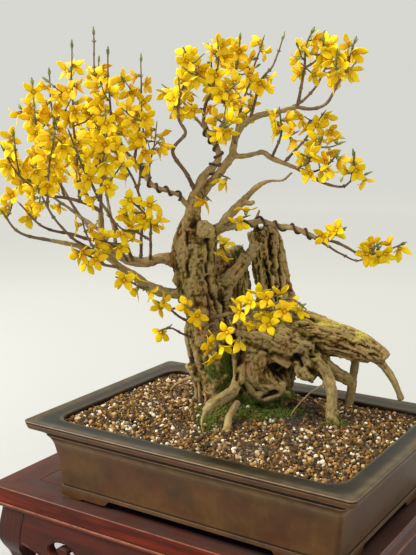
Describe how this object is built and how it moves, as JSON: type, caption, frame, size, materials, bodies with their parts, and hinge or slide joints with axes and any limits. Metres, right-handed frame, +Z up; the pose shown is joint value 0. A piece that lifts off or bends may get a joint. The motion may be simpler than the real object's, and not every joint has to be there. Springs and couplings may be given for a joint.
{
  "type": "forsythia bonsai",
  "caption": "Flowering forsythia bonsai with a hollowed, root-braced trunk, in a low rectangular stoneware pot on a carved hardwood display stand.",
  "frame": {"origin": "under the middle of the whole, on the floor that the stand's feet rest on", "axes": "+X along the pot's length to the right, +Y across its width to the back, +Z up"},
  "size_m": [0.5562, 0.3836, 0.7416],
  "materials": {
    "stoneware": "unglazed dark brown stoneware, burnished to a low sheen",
    "soil": "baked clay grains with pumice, matte",
    "bark": "grey-brown bark and weathered deadwood",
    "bloom": "thin bright yellow petals on reddish-brown twigs",
    "wire": "dark brown anodised",
    "rosewood": "red-brown varnish, dusty and worn on top"
  },
  "bodies": {
    "root": {"table_frame_front": "rosewood", "table_frame_right": "rosewood", "table_frame_back": "rosewood", "table_frame_left": "rosewood", "table_panel": "rosewood", "table_leg_front_left": "rosewood", "table_leg_front_right": "rosewood", "table_leg_back_right": "rosewood", "table_leg_back_left": "rosewood", "table_apron_front": "rosewood", "table_apron_right": "rosewood", "table_apron_back": "rosewood", "table_apron_left": "rosewood", "wood": "bark", "training_wire_left": "wire", "training_wire_centre": "wire", "training_wire_right": "wire", "spray_far_left_tip": "bloom", "spray_left_low": "bloom", "spray_left_middle": "bloom", "spray_left_back": "bloom", "spray_left_fan_low": "bloom", "spray_left_tall_a": "bloom", "spray_left_tall_b": "bloom", "spray_left_tall_c": "bloom", "spray_left_wired_end": "bloom", "spray_left_inner_back": "bloom", "spray_left_far_back": "bloom", "spray_left_front_fan": "bloom", "spray_left_front_inner": "bloom", "spray_left_front_bunch": "bloom", "spray_left_wired_rise": "bloom", "spray_left_shelf_low": "bloom", "spray_left_shelf_inner": "bloom", "spray_left_under": "bloom", "spray_left_low_twig": "bloom", "spray_left_lowest_twig": "bloom", "spray_loop_rise": "bloom", "spray_crown_left": "bloom", "spray_crown_front": "bloom", "spray_crown_middle": "bloom", "spray_crown_right": "bloom", "spray_crown_hanging": "bloom", "spray_bare_riser": "bloom", "spray_right_upright_front": "bloom", "spray_right_upright_back": "bloom", "spray_right_tip": "bloom", "spray_right_spur": "bloom", "spray_right_shelf_back": "bloom", "spray_right_shelf_tip": "bloom", "spray_shoulder_front": "bloom", "spray_crotch_bloom": "bloom", "spray_under_crown_bloom": "bloom", "spray_long_right": "bloom", "spray_low_front_branch": "bloom", "spray_low_front_left": "bloom", "spray_low_front_drop": "bloom", "spray_behind_trunk": "bloom", "pot": "stoneware", "soil": "soil"}
  },
  "joints": []
}
